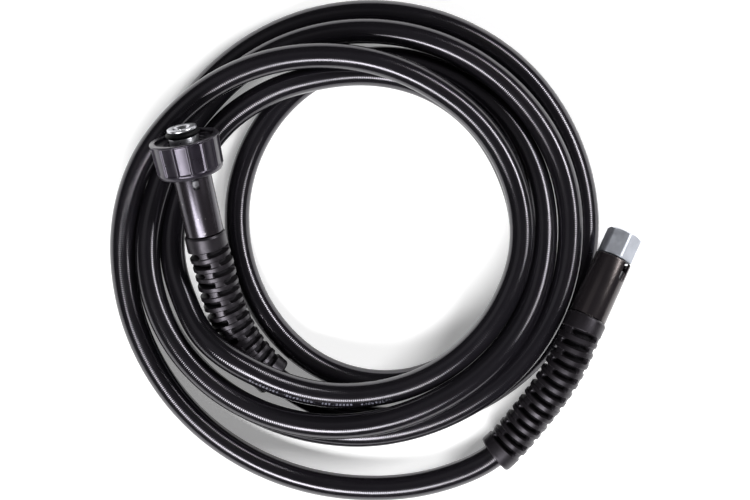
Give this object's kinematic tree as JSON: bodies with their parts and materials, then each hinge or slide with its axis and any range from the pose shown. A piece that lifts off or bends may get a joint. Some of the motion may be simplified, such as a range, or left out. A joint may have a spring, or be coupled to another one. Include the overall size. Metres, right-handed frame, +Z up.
{
  "type": "pressure washer hose",
  "caption": "Black rubber high-pressure hose in a loose floor coil, with a steel hex swivel nut on one end and a ribbed plastic hand nut on the other.",
  "frame": {"origin": "on the floor, under the middle of the coil's bounding box", "axes": "+Z up from the floor; +X towards the steel hex nut's side of the coil; +Y the way both fittings mainly point"},
  "size_m": [0.276, 0.2632, 0.0663],
  "materials": {
    "rubber_hose": "satin",
    "guard_rubber": "matte",
    "sleeve_plastic": "semi-gloss",
    "nut_plastic": "satin",
    "seal_rubber": "satin",
    "zinc_steel": "zinc plated, satin"
  },
  "bodies": {
    "hose_body": {"hose": "rubber_hose", "steel_bend_guard": "guard_rubber", "hand_bend_guard": "guard_rubber", "steel_end_sleeve": "sleeve_plastic", "hand_end_sleeve": "sleeve_plastic", "steel_spigot": "zinc_steel", "hand_spigot": "zinc_steel", "spigot_seal": "seal_rubber"},
    "hex_nut_body": {"hex_nut": "zinc_steel"},
    "hand_nut_body": {"hand_nut": "nut_plastic"}
  },
  "joints": [
    {"name": "hex_nut_swivel", "type": "hinge", "parent": "hose_body", "child": "hex_nut_body", "pos_m": [0.1095, -0.035, 0.0262], "axis": [0.4195, 0.8996, -0.1219], "continuous": true},
    {"name": "hand_nut_swivel", "type": "hinge", "parent": "hose_body", "child": "hand_nut_body", "pos_m": [-0.0877, 0.0089, 0.0346], "axis": [-0.1841, 0.9384, 0.2924], "continuous": true}
  ]
}
